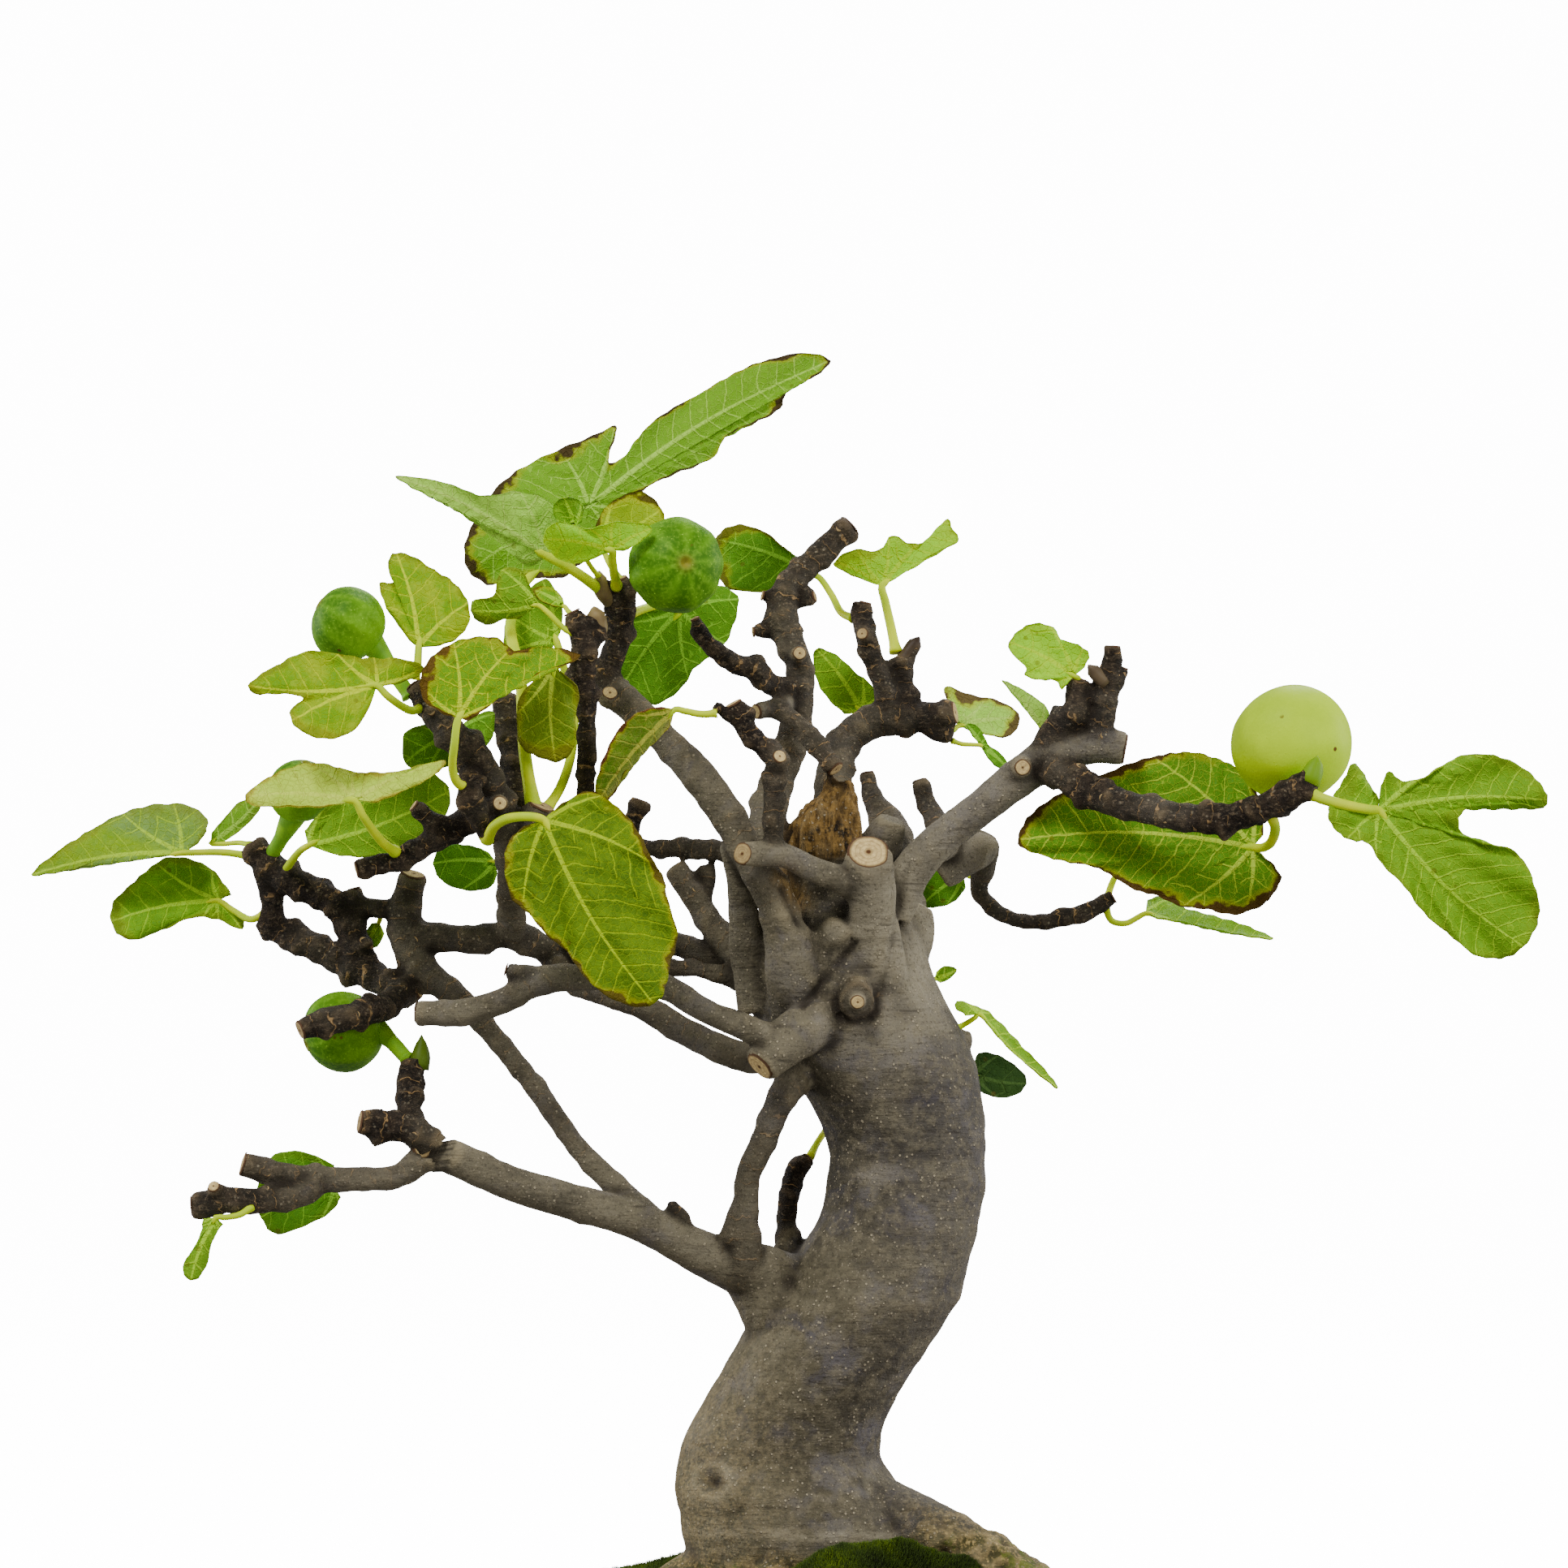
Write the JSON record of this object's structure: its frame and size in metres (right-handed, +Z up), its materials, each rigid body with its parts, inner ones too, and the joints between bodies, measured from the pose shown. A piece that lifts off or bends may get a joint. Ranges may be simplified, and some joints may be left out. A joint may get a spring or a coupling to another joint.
{
  "type": "bonsai",
  "caption": "Common fig grown as a bonsai, with a bent trunk, pruned crown, lobed leaves, figs, moss and an oval pot.",
  "frame": {"origin": "on the ground, under the middle of the whole plant's width and the pot's depth", "axes": "+X to the viewer's right across the front, -Y towards the viewer, +Z up"},
  "size_m": [0.4638, 0.208, 0.4597],
  "materials": {
    "bark": "matt smooth bark with pale specks",
    "leaf": "satin green leaf, paler beneath",
    "young_leaf": "satin yellow-green young leaf",
    "fig_green": "smooth green fruit skin",
    "fig_ripe": "smooth yellow-green fruit skin",
    "moss": "soft tufted moss",
    "soil": "coarse dark grains",
    "pot": "unglazed brown clay",
    "screen": "matt black mesh"
  },
  "bodies": {
    "root": {"drain_screen_left": "screen", "drain_screen_right": "screen", "fig_hidden": "fig_green", "fig_left": "fig_green", "fig_low": "fig_green", "fig_ripe": "fig_ripe", "fig_top": "fig_green", "leaf_back_right": "leaf", "leaf_behind_fig": "leaf", "leaf_behind_right": "leaf", "leaf_centre_hidden": "leaf", "leaf_far_left": "leaf", "leaf_far_right": "leaf", "leaf_folded_front": "leaf", "leaf_fork_small": "leaf", "leaf_fork_tip": "leaf", "leaf_front_large": "leaf", "leaf_hanging": "leaf", "leaf_hub_small": "leaf", "leaf_inner_left": "leaf", "leaf_left_dark": "leaf", "leaf_left_lobed": "leaf", "leaf_left_lower": "leaf", "leaf_left_narrow": "leaf", "leaf_left_shadow": "leaf", "leaf_left_wide": "leaf", "leaf_low_left": "leaf", "leaf_low_tip": "leaf", "leaf_right_brown": "leaf", "leaf_right_large": "leaf", "leaf_right_pale": "leaf", "leaf_right_small": "leaf", "leaf_right_top": "young_leaf", "leaf_right_under": "leaf", "leaf_right_upright": "leaf", "leaf_round_front": "leaf", "leaf_shoulder_bud": "leaf", "leaf_top_back": "leaf", "leaf_top_bright": "young_leaf", "leaf_top_crinkled": "young_leaf", "leaf_top_large": "leaf", "leaf_top_pale": "leaf", "leaf_top_right": "leaf", "leaf_top_scorched": "leaf", "leaf_trunk_dark": "leaf", "leaf_trunk_long": "leaf", "leaf_upper_left": "leaf", "moss": "moss", "pot": "pot", "soil": "soil", "tree_wood": "bark"}
  },
  "joints": []
}
